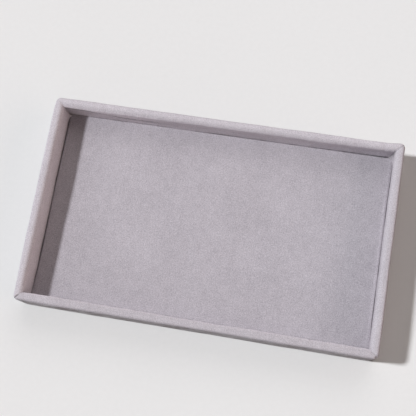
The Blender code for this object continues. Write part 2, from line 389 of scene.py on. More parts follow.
def bell(value):
    """1 at 0, and less and less on both sides of it."""
    return np.exp(-(value ** 2))


def cover_path():
    """Line across a wall cover, from its turned-under edge over the rim to the inner bottom edge.

    Each row is inset from the outer face, height, and the direction that the velvet faces
    there, in radians.
    """
    top = RIM_HEIGHT - RIM_RADIUS
    outer_top = RIM_HEIGHT - RIM_OUTER_RADIUS
    foot = TURN_UNDER_HEIGHT + FOOT_RADIUS
    inner = WALL_THICKNESS - RIM_RADIUS
    parts = (
        ((TURN_UNDER, TURN_UNDER_HEIGHT, DOWN), (FOOT_RADIUS, TURN_UNDER_HEIGHT, DOWN), UNDER_STEP, None),
        ((FOOT_RADIUS, foot, DOWN), (FOOT_RADIUS, foot, OUT), RIM_STEP, FOOT_RADIUS),
        ((0, foot, OUT), (0, outer_top, OUT), FACE_STEP, None),
        ((RIM_OUTER_RADIUS, outer_top, OUT), (RIM_OUTER_RADIUS, outer_top, UP), RIM_STEP, RIM_OUTER_RADIUS),
        ((RIM_OUTER_RADIUS, RIM_HEIGHT, UP), (inner, RIM_HEIGHT, UP), RIM_STEP, None),
        ((inner, top, UP), (inner, top, IN), RIM_STEP, RIM_RADIUS),
        ((WALL_THICKNESS, top, IN), (WALL_THICKNESS, WALL_BOTTOM, IN), FACE_STEP, None),
    )
    rows = []
    for start, end, step, radius in parts:
        turn = math.radians(abs(end[2] - start[2]))
        reach = radius * turn if radius else math.dist(start[:2], end[:2])
        count = max(1, math.ceil(reach / step))
        for number in range(1 if rows else 0, count + 1):
            share = number / count
            inset, height, facing = (a + (b - a) * share for a, b in zip(start, end))
            facing = math.radians(facing)
            if radius:
                inset += radius * math.cos(facing)
                height += radius * math.sin(facing)
            rows.append((inset, height, facing))
    return np.array(rows)


def end_shares():
    """Places of the end zone's rows on the way to the mitre, crowded towards it."""
    steps = np.arange(1, END_ROWS + 1) / END_ROWS
    return 1 - (1 - steps) ** END_CROWDING


def wall_grid(length, path):
    """Points, outward directions, place along the wall and distance to the nearest mitre.

    Arrays run along the wall first and across it second. The wall's own +X runs along it
    and its own +Y points into the tray.
    """
    inset, height, facing = path.T
    radius = np.maximum(OUTER_CORNER_RADIUS - inset, LEAST_CORNER_RADIUS)
    straight = END_ZONE - inset - radius
    reach = straight + radius * math.pi / 4
    middle = length / 2 - END_ZONE
    count = 2 * math.ceil(middle / ALONG_STEP)
    inner_places = np.linspace(-middle, middle, count + 1)
    columns = []
    for side, shares in ((-1, end_shares()[::-1]), (0, inner_places), (1, end_shares())):
        for share in shares:
            if side == 0:
                along = np.full(len(path), share)
                turn = np.zeros(len(path))
                depth = inset.copy()
                flat = along.copy()
            else:
                gone = share * reach
                turn = np.clip((gone - straight) / radius, 0, math.pi / 4)
                bent = length / 2 - inset - radius + radius * np.sin(turn)
                along = np.where(turn > 0, bent, middle + gone)
                depth = inset + radius * (1 - np.cos(turn))
                flat = side * (middle + gone)
                along = side * along
            columns.append((along, depth, side * turn, flat))
    along, depth, turn, flat = (np.array(part) for part in zip(*columns))
    tall = np.broadcast_to(height, along.shape)
    points = np.stack([along, depth, tall], axis=-1)
    inwards = np.cos(facing)
    upwards = np.broadcast_to(np.sin(facing), along.shape)
    outward = np.stack([-np.sin(turn) * inwards, np.cos(turn) * inwards, upwards], axis=-1)
    mitre = (length / 2 - np.abs(along) - depth) / math.sqrt(2)
    return points, outward, flat, np.maximum(mitre, 0)


def path_lengths(path):
    """Distance of each row of the cover's line from the turned-under edge."""
    return np.concatenate([[0], np.cumsum(np.hypot(*np.diff(path[:, :2], axis=0).T))])


def from_corners(wall, along):
    """Distance from the tray's inner corners at a wall's low end and at its high end."""
    half = wall.length / 2
    return along + half - WALL_THICKNESS, half - WALL_THICKNESS - along


def end_values(table, ends, along):
    """A table's value for the corner at each half of a wall."""
    low, high = (table[end] for end in ends)
    return np.where(along < 0, low, high)


def on_inner_face(facing):
    """1 on a wall's inner face, and 0 on its rim and its outer face."""
    return smooth_step(INNER_FACE_SHARPNESS * (np.cos(facing) - INNER_FACE_START))


def crease_reach(along, depth, ends):
    """1 on the outer part of a mitre seam, and 0 further in than the crease reaches."""
    return smooth_step((end_values(CREASE_REACH, ends, along) - depth) / CREASE_END + 0.5)


def crease(mitre, along, facing, ends):
    """How far the velvet sinks into the mitre seams at the wall's two ends."""
    on_rim = smooth_step(np.sin(facing) * CREASE_STOP)
    share = np.where(np.cos(facing) < 0, np.maximum(on_rim, OUTER_CREASE_SHARE), on_rim)
    sink = end_values(CREASE_DEPTH, ends, along) * share * np.exp(-mitre / CREASE_WIDTH)
    notch = bell((facing - NOTCH_FACING) / NOTCH_SPREAD) * bell(mitre / NOTCH_WIDTH)
    return sink + end_values(NOTCH_DEPTH, ends, along) * notch


def lean(ends, along, length):
    """Value that runs evenly from a wall's low end to its high end."""
    return ends[0] + (ends[1] - ends[0]) * np.clip(along / length + 0.5, 0, 1)


def inner_face(wall, along, above_floor):
    """How far a wall's inner face stands in from the straight one."""
    down = 1 - np.clip(above_floor / INNER_FACE_HEIGHT, 0, 1)
    shape = lean(INNER_LEAN[wall.side], along, wall.length) * smooth_step(down * LEAN_HASTE)
    if wall.side == "left":
        shape += LEFT_BELLY * bell((above_floor - LEFT_BELLY_HEIGHT) / LEFT_BELLY_HEIGHT)
    return shape


def outer_face(wall, along):
    """How far a wall's outer face stands out from the straight one, and nothing at its corners."""
    near = smooth_step((wall.length / 2 - np.abs(along)) / LEAN_ZONE)
    return lean(OUTER_LEAN[wall.side], along, wall.length) * near


def fold_line(from_corner):
    """Height of the fold's lip over the floor panel along the back wall, and how much fold there is."""
    rise = np.exp(-((from_corner / FOLD_RISE_LENGTH) ** FOLD_RISE_POWER))
    return FOLD_HEIGHT + FOLD_RISE * rise, smooth_step((FOLD_LENGTH - from_corner) / FOLD_FADE)


def corner_fold(from_corner, above_floor):
    """Loose fold of the back wall's velvet: it swells down to its lip, and ends there."""
    lip, fade = fold_line(from_corner)
    drop = INNER_FACE_HEIGHT - lip
    swell = np.clip((INNER_FACE_HEIGHT - above_floor) / np.maximum(drop, FOLD_LIP), 0, 1)
    swell = swell * np.clip(drop / FOLD_DROP, 0, 1)
    return FOLD_BULGE * fade * swell * smooth_step((above_floor - lip) / FOLD_LIP + 0.5)


def corner_gusset(from_corner, above_floor):
    """Fabric that slopes from the rim into a corner of the floor."""
    under = smooth_step(1 + above_floor / GUSSET_UNDER)
    slope = np.clip(1 - above_floor / INNER_FACE_HEIGHT, 0, 1)
    radius = np.maximum(GUSSET_RADIUS * under * slope, LEAST_CORNER_RADIUS)
    share = np.clip(1 - from_corner / radius, 0, 1)
    return (radius - LEAST_CORNER_RADIUS) * (1 - np.sqrt(1 - share * share))


def corner_tab(from_corner, above_floor):
    """Small corner of fabric that stands out over the floor panel."""
    return TAB_BULGE * bell((from_corner - TAB_PLACE) / TAB_WIDTH) * bell(above_floor / TAB_HEIGHT)


def corner_pull(from_corner, above_floor):
    """Shallow ridge from the top of a corner down along the wall."""
    left = 1 - np.clip(from_corner / PULL_LENGTH, 0, 1)
    fade = smooth_step(left * PULL_FADE)
    return PULL_BULGE * fade * bell((above_floor - PULL_HEIGHT * left) / PULL_SPREAD)


def wall_folds(wall, along, above_floor, facing):
    """Shape and folds of one wall's two faces, away from straight ones."""
    inner = on_inner_face(facing)
    shape = inner * inner_face(wall, along, above_floor)
    shape += smooth_step(-np.cos(facing)) * outer_face(wall, along)
    from_low_end, from_high_end = from_corners(wall, along)
    if wall.side == "back":
        shape += inner * corner_fold(from_high_end, above_floor)
    if wall.side == "left":
        tab = corner_tab(from_low_end, above_floor)
        shape += inner * (tab + corner_pull(from_high_end, above_floor))
    return shape


def draw_gusset(moved, from_corner, above_floor, facing):
    """Draw the end of a wall's inner face into the tray and up to the next wall, as a gusset."""
    bulge = on_inner_face(facing) * corner_gusset(from_corner, above_floor)
    moved[..., 1] += bulge
    moved[..., 0] += GUSSET_REACH * bulge / GUSSET_RADIUS


def pocket(corner, from_corner):
    """Share of painted shade in a corner's pocket, less and less away from it."""
    share, reach = POCKET_SHADE[corner]
    return share * np.exp(-np.maximum(from_corner, 0) / reach)


def foot_fade(above_floor, height):
    """1 down at the floor panel, and less and less above it."""
    return np.exp(-np.maximum(above_floor, 0) / height)


def back_painted_shading(from_low_end, from_high_end, above_floor):
    """Painted shade and light on the back wall's inner face: at its fold, its corners and its foot."""
    lip, fade = fold_line(from_high_end)
    below_lip = lip - above_floor
    line = FOLD_LINE_SHADE * bell((below_lip - FOLD_HIDDEN) / FOLD_LINE_WIDTH)
    under_fold = pocket("back_left", from_high_end) * smooth_step(below_lip / FOLD_HIDDEN)
    foot = FOOT_LINE_SHADE * smooth_step(1 - from_low_end / FOOT_LINE_LENGTH)
    foot = pocket("back_right", from_low_end) + foot * foot_fade(above_floor, FOOT_LINE_HEIGHT)
    lit = FOLD_LIGHT * smooth_step(-below_lip / FOLD_LINE_WIDTH)
    lit = lit + FOLD_STRIP_LIGHT * smooth_step((below_lip - FOLD_HIDDEN) / FOLD_LINE_WIDTH)
    return np.maximum(fade * (line + under_fold), foot), fade * lit


def face_painted_shading(wall, along, above_floor):
    """Painted shade and light on a wall's inner face, away from its corners' seams."""
    from_low_end, from_high_end = from_corners(wall, along)
    if wall.side == "back":
        return back_painted_shading(from_low_end, from_high_end, above_floor)
    if wall.side == "left":
        start = smooth_step(from_low_end / FOOT_SHADE_START)
        return FOOT_SHADE * start * foot_fade(above_floor, FOOT_SHADE_HEIGHT), 0
    if wall.side == "right":
        start = smooth_step(1 - from_low_end / FOOT_LIGHT_LENGTH)
        return 0, FOOT_LIGHT * start * foot_fade(above_floor, FOOT_SHADE_HEIGHT)
    return 0, 0


def cover_painted_shading(wall, along, depth, above_floor, facing, mitre):
    """Painted shade at each point of a wall cover, as a share of its colour, or painted light, if below 0."""
    inner = on_inner_face(facing)
    seam = end_values(SEAM_SHADE, wall.ends, along) * bell(mitre / SEAM_SHADE_WIDTH)
    seam = seam * crease_reach(along, depth, wall.ends)
    corner = end_values(CORNER_SHADE, wall.ends, along) * np.exp(-mitre / CORNER_SHADE_WIDTH)
    dark, lit = face_painted_shading(wall, along, above_floor)
    shade = np.maximum(seam * (1 - inner) + corner * inner, inner * dark) - inner * lit
    if wall.side == "front":
        # Painted highlight on the front rim's inner turn
        shade = shade - TURN_LIGHT * bell((facing - TURN_LIGHT_FACING) / TURN_LIGHT_SPREAD)
    return shade


def turned(points, degrees):
    """Points or directions turned about the upright axis."""
    angle = math.radians(degrees)
    x, y, z = np.moveaxis(points, -1, 0)
    c, s = math.cos(angle), math.sin(angle)
    return np.stack([x * c - y * s, x * s + y * c, z], axis=-1)


def cover_shape(wall, path, points, outward, mitre):
    """A wall cover's points with its unevenness, folds and creases, and the painted shade and light on it."""
    along, depth, height = np.moveaxis(points, -1, 0)
    facing = np.broadcast_to(path[:, 2], along.shape)
    across = np.broadcast_to(path_lengths(path), along.shape)
    above_floor = height - PANEL_HIGH.z
    lift = waves(turned(points, wall.degrees) + wall.location, SLOW_WAVES)
    pile = np.stack([along, across / STREAK_STRETCH, np.full_like(along, wall.degrees)], axis=-1)
    lift += waves(pile, PILE_WAVES) * (1 - OUTER_CALM * smooth_step(-np.cos(facing)))
    lift *= smooth_step((height - TURN_UNDER_HEIGHT) / FOOT_CALM)
    lift += wall_folds(wall, along, above_floor, facing)
    lift -= crease(mitre, along, facing, wall.ends) * crease_reach(along, depth, wall.ends)
    moved = points + outward * lift[..., None]
    if wall.side == "right":
        draw_gusset(moved, from_corners(wall, along)[1], above_floor, facing)
    moved[..., 0] -= np.sign(along) * SEAM_GAP
    return moved, cover_painted_shading(wall, along, depth, above_floor, facing, mitre)


def add_dives(moved, outward, flat, shade):
    """Add the columns past each mitre, where the velvet's edge goes down between the two covers."""
    low = [moved[0] - outward[0] * dive for dive in SEAM_DIVE[::-1]]
    high = [moved[-1] - outward[-1] * dive for dive in SEAM_DIVE]
    moved = np.concatenate([low, moved, high])
    low = [flat[0] - dive for dive in SEAM_DIVE[::-1]]
    high = [flat[-1] + dive for dive in SEAM_DIVE]
    flat = np.concatenate([low, flat, high])
    columns = len(SEAM_DIVE)
    return moved, flat, np.pad(shade, ((columns, columns), (0, 0)), mode="edge")


def wall_cover(wall):
    """One wall's velvet: a single sheet, from under the base over the rim to behind the floor panel."""
    side, length, location, degrees, _ = wall
    path = cover_path()
    rows = path_lengths(path)
    points, outward, flat, mitre = wall_grid(length, path)
    moved, shade = cover_shape(wall, path, points, outward, mitre)
    moved, flat, shade = add_dives(moved, outward, flat, shade)
    across = np.broadcast_to(rows, flat.shape)
    uv = np.stack([flat + length / 2 + SEAM_DIVE[1], across], axis=-1).reshape(-1, 2)
    placed = turned(moved, degrees) + location
    obj = make_mesh(f"{side}_wall_velvet", placed.reshape(-1, 3), grid_faces(*moved.shape[:2]), uv)
    # Painted shade and light, kept on the mesh for its material
    keep_painted_shading(obj, shade)
    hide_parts(f"{side}_wall_cover")
    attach(obj, "root")
    return obj


def walls():
    """The four walls, counterclockwise from the front."""
    return (
        Wall("front", 2 * HALF_LENGTH, (0, -HALF_DEPTH, 0), 0, ("front_left", "front_right")),
        Wall("right", 2 * HALF_DEPTH, (HALF_LENGTH, 0, 0), 90, ("front_right", "back_right")),
        Wall("back", 2 * HALF_LENGTH, (0, HALF_DEPTH, 0), 180, ("back_right", "back_left")),
        Wall("left", 2 * HALF_DEPTH, (-HALF_LENGTH, 0, 0), 270, ("back_left", "front_left")),
    )


def edge_places(half, step, edge, rows, corner):
    """Places across a sheet with a rolled edge: crowded in the edge, with one at the corner's radius."""
    roll = [edge * (1 - math.cos(math.pi / 2 * row / rows)) for row in range(rows + 1)]
    border = roll + [corner]
    inner = half - corner
    count = 2 * math.ceil(inner / step)
    middle = np.linspace(-inner, inner, count + 1)[1:-1]
    low = [-half + place for place in border]
    return np.array(low + middle.tolist() + [-place for place in reversed(low)])


def round_corners(x, y, half_x, half_y, radius):
    """Draw a rectangular grid's corner squares into quarter circles; also gives each point's inset."""
    over_x = (np.abs(x) - (half_x - radius)) / radius
    over_y = (np.abs(y) - (half_y - radius)) / radius
    corner = (over_x > 0) & (over_y > 0)
    u, v = np.clip(over_x, 0, 1), np.clip(over_y, 0, 1)
    round_u, round_v = u * np.sqrt(1 - v * v / 2), v * np.sqrt(1 - u * u / 2)
    new_x = np.where(corner, np.sign(x) * (half_x - radius + radius * round_u), x)
    new_y = np.where(corner, np.sign(y) * (half_y - radius + radius * round_v), y)
    inset = np.minimum(half_x - np.abs(x), half_y - np.abs(y))
    inset = np.where(corner, radius * (1 - np.hypot(round_u, round_v)), inset)
    return new_x, new_y, np.maximum(inset, 0)


def rounded_sheet(half_x, half_y, step, edge, rows, corner):
    """Flat grid of a rounded rectangle: each point's x, y and inset."""
    places = [edge_places(half, step, edge, rows, corner) for half in (half_x, half_y)]
    return round_corners(*np.meshgrid(*places, indexing="ij"), half_x, half_y, corner)


def flat_waves(x, y, layers):
    """Noise layers over a flat sheet."""
    return waves(np.stack([x, y, np.zeros_like(x)], axis=-1), layers)


def edge_drop(inset, radius):
    """How far a rolled edge lies below its sheet, from each point's inset."""
    into_roll = np.clip(radius - inset, 0, radius)
    return radius - np.sqrt(np.maximum(radius ** 2 - into_roll ** 2, 0))


def band(low, high):
    """Quads between two loops with as many points each."""
    return np.stack([low, np.roll(low, -1), np.roll(high, -1), high], axis=-1).tolist()


def border_loop(columns, rows):
    """Numbers of a grid's border points, counterclockwise from the low corner."""
    grid = np.arange(columns * rows).reshape(columns, rows)
    return np.concatenate([grid[:-1, 0], grid[-1, :-1], grid[:0:-1, -1], grid[0, :0:-1]])


def closed_share(side, run, half):
    """1 at the two ends of the floor panel's edge, where it touches the wall, and 0 along the rest."""
    return smooth_step((np.abs(run) - half) / np.where(run < 0, *PANEL_CLOSED[side]) + 1)


def gap_shift(side, place, half, seed):
    """How far one edge of the floor panel lies outside its CAD edge, along that edge."""
    nominal = HALF_DEPTH - WALL_THICKNESS - PANEL_HIGH.y
    run = place if side in ("front", "right") else -place
    gap = lean(PANEL_GAPS[side], run, 2 * half)
    wander = [noise.noise(Vector((value / PANEL_GAP_WAVE, seed, 0))) for value in place]
    near_corner = closed_share(side, run, half)
    open_share = (1 - near_corner) * min(1, gap.min() / PANEL_GAP_WANDER)
    wanted = gap + PANEL_GAP_WANDER * np.array(wander) * open_share
    wanted = wanted + (PANEL_CORNER_GAP - gap) * near_corner
    return nominal - wanted - lean(INNER_LEAN[side], run, 2 * half)


def edge_rolls(x, y):
    """How far the floor panel's edge rolls down along each side: 1 is a full quarter circle."""
    half_x, half_y = PANEL_HIGH.xy
    sides = (
        ("left", half_x + x, -y, half_y),
        ("right", half_x - x, y, half_y),
        ("front", half_y + y, x, half_x),
        ("back", half_y - y, -x, half_x),
    )
    rolls = np.ones_like(x)
    for side, inset, run, half in sides:
        closed = 1 - PANEL_CLOSED_ROLL * closed_share(side, run, half)
        here = lean(PANEL_ROLLS[side], run, 2 * half) * closed
        rolls = np.where(inset < PANEL_EDGE_RADIUS, np.minimum(rolls, here), rolls)
    return rolls


def keep_painted_shading(obj, shade):
    """Keep the painted shade and light on the mesh at each point: above 0 is darker, below 0 lighter."""
    painted_shading = obj.data.attributes.new("painted_shading", "FLOAT", "POINT")
    painted_shading.data.foreach_set("value", shade.astype(np.float32).ravel())


def panel_height(x, y, inset):
    """Height of the floor panel's velvet: uneven, and rolled down at its edges."""
    calm = PANEL_EDGE_CALM + (1 - PANEL_EDGE_CALM) * smooth_step(inset / PANEL_EDGE_RADIUS)
    z = PANEL_HIGH.z - edge_drop(inset, PANEL_EDGE_RADIUS) * edge_rolls(x, y)
    return z + flat_waves(x, y, PANEL_WAVES) * calm


def shift_edges(x, y):
    """Move each edge of the floor panel out or in, to leave the wanted gap to its wall."""
    columns, rows = x.shape
    places_along = (y[columns // 2], x[:, rows // 2])
    moved = [x, y]
    for side, (axis, sign, seed) in PANEL_SIDES.items():
        near = smooth_step(1 - (PANEL_HIGH[axis] - sign * moved[axis]) / PANEL_SHIFT_DEPTH)
        shift = gap_shift(side, places_along[axis], PANEL_HIGH[1 - axis], seed)
        moved[axis] = moved[axis] + sign * near * np.expand_dims(shift, axis)
    return moved


def panel_rings(rim):
    """Rings from the floor panel's border down its side and under it, and how far out each lies flat."""
    side_height = rim[:, 2] - PANEL_LOW.z
    rings = []
    for share in PANEL_SIDE_SHARES:
        ring = rim.copy()
        ring[:, 2] -= share * side_height
        rings.append((ring, share * side_height))
    for share in PANEL_UNDER_SHARES:
        inset_under = share * PANEL_TURN_UNDER
        limit = np.array(PANEL_HIGH.xy) - inset_under
        ring = rim.copy()
        ring[:, :2] = np.clip(ring[:, :2], -limit, limit)
        ring[:, 2] = PANEL_LOW.z
        rings.append((ring, side_height + inset_under))
    return rings


def floor_panel():
    """Velvet over the floor panel: crowned a little, with rolled edges, turned under its board."""
    half_x, half_y = PANEL_HIGH.xy
    x, y, inset = rounded_sheet(
        half_x, half_y, PANEL_STEP, PANEL_EDGE_RADIUS, PANEL_EDGE_ROWS, PANEL_CORNER_RADIUS)
    lip = bell((half_x - x - PANEL_LIP_PLACE) / PANEL_LIP_WIDTH)
    z = panel_height(x, y, inset) + PANEL_LIP * lip
    # Painted light along the lip, kept on the mesh for the panel's velvet
    painted_light = -PANEL_LIP_LIGHT * (1 - closed_share("right", y, half_y)) * lip
    x, y = shift_edges(x, y)
    points = np.stack([x, y, z], axis=-1).reshape(-1, 3)
    uv = np.stack([x + half_x, y + half_y], axis=-1).reshape(-1, 2)
    faces = grid_faces(*x.shape)
    loop = border_loop(*x.shape)
    rim = points[loop]
    outward = rim[:, :2] / np.linalg.norm(rim[:, :2], axis=1)[:, None]
    vertices, uvs = [points], [uv]
    previous, count = loop, len(points)
    for ring, out in panel_rings(rim):
        current = np.arange(count, count + len(ring))
        faces += band(current, previous)
        vertices.append(ring)
        uvs.append(uv[loop] + outward * out[:, None])
        previous, count = current, count + len(ring)
    all_uv = np.concatenate(uvs)
    all_uv -= all_uv.min(axis=0)
    obj = make_mesh("floor_panel_velvet", np.concatenate(vertices), faces, all_uv)
    keep_painted_shading(obj, np.pad(painted_light.ravel(), (0, len(all_uv) - painted_light.size)))
    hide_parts("floor_panel_cover")
    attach(obj, "root")
    return obj


def felt_lining():
    """Felt under the tray: its lower face, its pressed edge and the lap over the turned-under velvet."""
    half_x, half_y = LINING_HIGH.xy
    x, y, inset = rounded_sheet(
        half_x, half_y, FELT_STEP, FELT_EDGE, FELT_EDGE_ROWS, FELT_CORNER_RADIUS)
    bumps = flat_waves(x, y, FELT_WAVES)
    rough = np.clip(bumps - bumps.min(), 0, None) * smooth_step(inset / FELT_CALM)
    z = LINING_LOW.z + FELT_EDGE_RISE * edge_drop(inset, FELT_EDGE) + FELT_ROUGHNESS * rough
    points = np.stack([x, y, z], axis=-1).reshape(-1, 3)
    faces = [face[::-1] for face in grid_faces(*x.shape)]
    loop = border_loop(*x.shape)
    upper = points[loop].copy()
    upper[:, 2] = LINING_LOW.z + FELT_EDGE
    lap = upper.copy()
    limit = np.array([half_x, half_y]) - (TURN_UNDER - (HALF_LENGTH - half_x))
    lap[:, :2] = np.clip(lap[:, :2], -limit, limit)
    upper_loop = np.arange(len(points), len(points) + len(loop))
    rings = [loop, upper_loop, upper_loop + len(loop)]
    for low, high in zip(rings, rings[1:]):
        faces += band(low, high)
    obj = make_mesh("felt_underside", np.concatenate([points, upper, lap]), faces)
    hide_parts("bottom_lining")
    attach(obj, "root")
    return obj


def foam_section(low, high):
    """Outline across a foam strip, as inset from the outer face and height: flat below, domed on top."""
    half_width = (WALL_THICKNESS - 2 * BOARD_INSET) / 2
    middle = WALL_THICKNESS / 2
    section = [(middle - half_width, low), (middle + half_width, low)]
    for turn in np.linspace(0, math.pi, FOAM_SECTION_STEPS + 1):
        dome = math.sin(turn) ** FOAM_DOME_POWER
        rise = (high - low) * (FOAM_EDGE_SHARE + (1 - FOAM_EDGE_SHARE) * dome)
        section.append((middle + half_width * math.cos(turn), low + rise))
    return np.array(section)


def tube_faces(columns, rows):
    """Faces of a tube whose rings have this many points, with its two ends closed."""
    rings = np.arange(columns * rows).reshape(columns, rows)
    faces = [rings[0, ::-1].tolist(), rings[-1].tolist()]
    for low, high in zip(rings, rings[1:]):
        faces += band(low, high)
    return faces


def rim_foam(wall):
    """Foam strip glued on top of a wall board, under the velvet of the rim."""
    side, length, location, degrees, _ = wall
    low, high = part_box(f"{side}_rim_padding")
    section = foam_section(low.z, high.z)
    rings = []
    for share in np.linspace(-1, 1, math.ceil(length / FOAM_STEP) + 1):
        along = share * (length / 2 - section[:, 0] - FOAM_END_GAP)
        rings.append(np.stack([along, section[:, 0], section[:, 1]], axis=-1))
    grid = np.array(rings)
    away = grid - np.array([0, WALL_THICKNESS / 2, (low.z + high.z) / 2])
    away[..., 0] = 0
    away /= np.linalg.norm(away, axis=-1)[..., None]
    grid -= away * (waves(grid, FOAM_PORES) + FOAM_PORES[0][1])[..., None]
    placed = turned(grid, degrees) + location
    obj = make_mesh(f"{side}_rim_foam", placed.reshape(-1, 3), tube_faces(*grid.shape[:2]))
    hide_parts(f"{side}_rim_padding")
    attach(obj, "root")
    return obj


def floor_foam():
    """Thin foam between the floor panel's board and its velvet."""
    low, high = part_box("floor_panel_foam")
    thickness = high.z - low.z
    radius = FOAM_CORNER_SHARE * thickness
    x, y, inset = rounded_sheet(high.x, high.y, FOAM_STEP, radius / 2, FOAM_EDGE_ROWS, radius)
    fall = thickness * FOAM_EDGE_FALL * (1 - smooth_step(inset / radius))
    z = high.z - fall - np.abs(flat_waves(x, y, FOAM_PORES))
    points = np.stack([x, y, z], axis=-1).reshape(-1, 3)
    under = np.stack([x, y, np.full_like(x, low.z)], axis=-1).reshape(-1, 3)
    top = grid_faces(*x.shape)
    bottom = [[index + len(points) for index in reversed(face)] for face in top]
    loop = border_loop(*x.shape)
    sides = band(loop + len(points), loop)
    obj = make_mesh("floor_panel_padding", np.concatenate([points, under]), top + bottom + sides)
    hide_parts("floor_panel_foam")
    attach(obj, "root")
    return obj


def set_inputs(tree, item, inputs):
    """Set a shader node's sockets, each to a value or to another node's output."""
    for key, value in inputs.items():
        if isinstance(value, bpy.types.NodeSocket):
            tree.links.new(value, item.inputs[key])
        else:
            item.inputs[key].default_value = value


def add_node(tree, kind, inputs=None, **settings):
    """A shader node with its settings and its inputs."""
    item = tree.nodes.new(kind)
    for key, value in settings.items():
        setattr(item, key, value)
    set_inputs(tree, item, inputs or {})
    return item


def add_math(tree, operation, *values, **settings):
    """Result of a sum on numbers or other nodes' outputs."""
    inputs = dict(enumerate(values))
    return add_node(tree, "ShaderNodeMath", inputs, operation=operation, **settings).outputs[0]


def add_range(tree, value, start, end, **settings):
    """A value carried over to another range: start and end are each (value, result)."""
    inputs = {"Value": value, "From Min": start[0], "From Max": end[0], "To Min": start[1], "To Max": end[1]}
    return add_node(tree, "ShaderNodeMapRange", inputs, **settings).outputs["Result"]


def noise_layer(tree, coordinates, size, stretch=EVEN, detail=2.0):
    """Noise whose bumps are about this many metres across, times the stretch of each axis."""
    scale = tuple(1 / (size * part) for part in stretch)
    mapping = add_node(tree, "ShaderNodeMapping", {"Vector": coordinates, "Scale": scale})
    inputs = {"Vector": mapping.outputs["Vector"], "Scale": 1.0, "Detail": detail, "Roughness": 0.5}
    return add_node(tree, "ShaderNodeTexNoise", inputs).outputs["Fac"]


def weighted(tree, layers):
    """Sum of noise layers about 0.5: each is pulled to the middle by its weight."""
    total = 0.5
    for layer, weight in layers:
        centred = add_math(tree, "SUBTRACT", layer, 0.5)
        total = add_math(tree, "MULTIPLY_ADD", centred, weight, total)
    return total


def two_tone(tree, factor, tones):
    """Colour between the two fibre tones."""
    dark, light = tones
    inputs = {0: factor, 6: (*dark, 1.0), 7: (*light, 1.0)}
    return add_node(tree, "ShaderNodeMix", inputs, data_type="RGBA", clamp_factor=True).outputs[2]


def new_material(name):
    """Material with its Principled shader, and the tree they are in."""
    material = bpy.data.materials.new(name)
    material.use_nodes = True
    return material, material.node_tree, material.node_tree.nodes["Principled BSDF"]


def cloth_coordinates(tree):
    """Place on the flat cloth, in metres, from the piece's own unwrapping."""
    uv = add_node(tree, "ShaderNodeUVMap", uv_map="OFBake").outputs["UV"]
    metres = add_node(tree, "ShaderNodeVectorMath", {0: uv, 1: (UV_SPAN,) * 3}, operation="MULTIPLY")
    return metres.outputs["Vector"]


def set_surface(tree, shader, color, grain, roughness, height, bump):
    """A material's colour, its roughness from a grain, and its bump from a height, both from 0 to 1."""
    bump = dict(zip(("Height", "Strength", "Distance"), (height, *bump)))
    set_inputs(tree, shader, {
        "Base Color": color,
        "Roughness": add_range(tree, grain, (0.0, roughness[0]), (1.0, roughness[1])),
        "Normal": add_node(tree, "ShaderNodeBump", bump).outputs["Normal"],
    })


def painted_face_light(tree, cloth, tones):
    """Painted light and shade across a wall cover, as a tone on its colour: outer face, rim and inner face in
    turn.
    """
    outer_end = TURN_UNDER + RIM_HEIGHT - TURN_UNDER_HEIGHT - FOOT_RADIUS - RIM_OUTER_RADIUS
    inner_start = path_lengths(cover_path())[-1] - (RIM_HEIGHT - RIM_RADIUS - WALL_BOTTOM)
    across = add_node(tree, "ShaderNodeSeparateXYZ", {"Vector": cloth}).outputs["Y"]
    total = tones[0]
    for start, before, after in zip((outer_end, inner_start - FACE_TONE_TURN), tones, tones[1:]):
        end = (start + FACE_TONE_TURN, after - before)
        step = add_range(tree, across, (start, 0.0), end, interpolation_type="SMOOTHSTEP")
        total = add_math(tree, "ADD", step, total)
    return total


def painted_edge_shade(tree):
    """Painted shade on the floor panel's velvet, a little darker towards its edges."""
    place = add_node(tree, "ShaderNodeTexCoord").outputs["Object"]
    axes = add_node(tree, "ShaderNodeSeparateXYZ", {"Vector": place})
    total = 1.0
    for side, (axis, sign, _) in PANEL_SIDES.items():
        tone, reach = PANEL_EDGE_SHADE[side]
        edge = sign * PANEL_HIGH[axis]
        inside = (edge - sign * reach, 1.0)
        step = add_range(tree, axes.outputs[axis], (edge, tone), inside, interpolation_type="SMOOTHSTEP")
        total = add_math(tree, "MULTIPLY", step, total)
    return total


def painted_shading_tone(tree):
    """Tone from the painted shade and light kept on the mesh: 1 where there is none, less where darker."""
    painted_shading = add_node(tree, "ShaderNodeAttribute", attribute_name="painted_shading").outputs["Fac"]
    return add_math(tree, "SUBTRACT", 1.0, painted_shading)


def velvet(name, tones, stretch, painted_light=None):
    """Short velvet: fine grain, brushed streaks, broad clouding, uneven roughness and a soft sheen."""
    material, tree, shader = new_material(name)
    cloth = cloth_coordinates(tree)
    layers = []
    for size, detail, brushed, weight in VELVET_LAYERS:
        layers.append((noise_layer(tree, cloth, size, stretch if brushed else EVEN, detail), weight))
    color = two_tone(tree, weighted(tree, layers), tones)
    # Painted light and shade: each face's tones on a wall, darker edges on the floor panel, then what the
    # mesh keeps
    for scale in (painted_face_light(tree, cloth, painted_light) if painted_light else painted_edge_shade(tree), painted_shading_tone(tree)):
        inputs = {0: color, "Scale": scale}
        color = add_node(tree, "ShaderNodeVectorMath", inputs, operation="SCALE").outputs["Vector"]
    grain, tufts = layers[0][0], layers[1][0]
    height = weighted(tree, zip((grain, tufts), VELVET_BUMP_WEIGHTS))
    set_surface(tree, shader, color, grain, VELVET_ROUGHNESS, height, VELVET_BUMP)
    set_inputs(tree, shader, VELVET_LOOK)
    return material


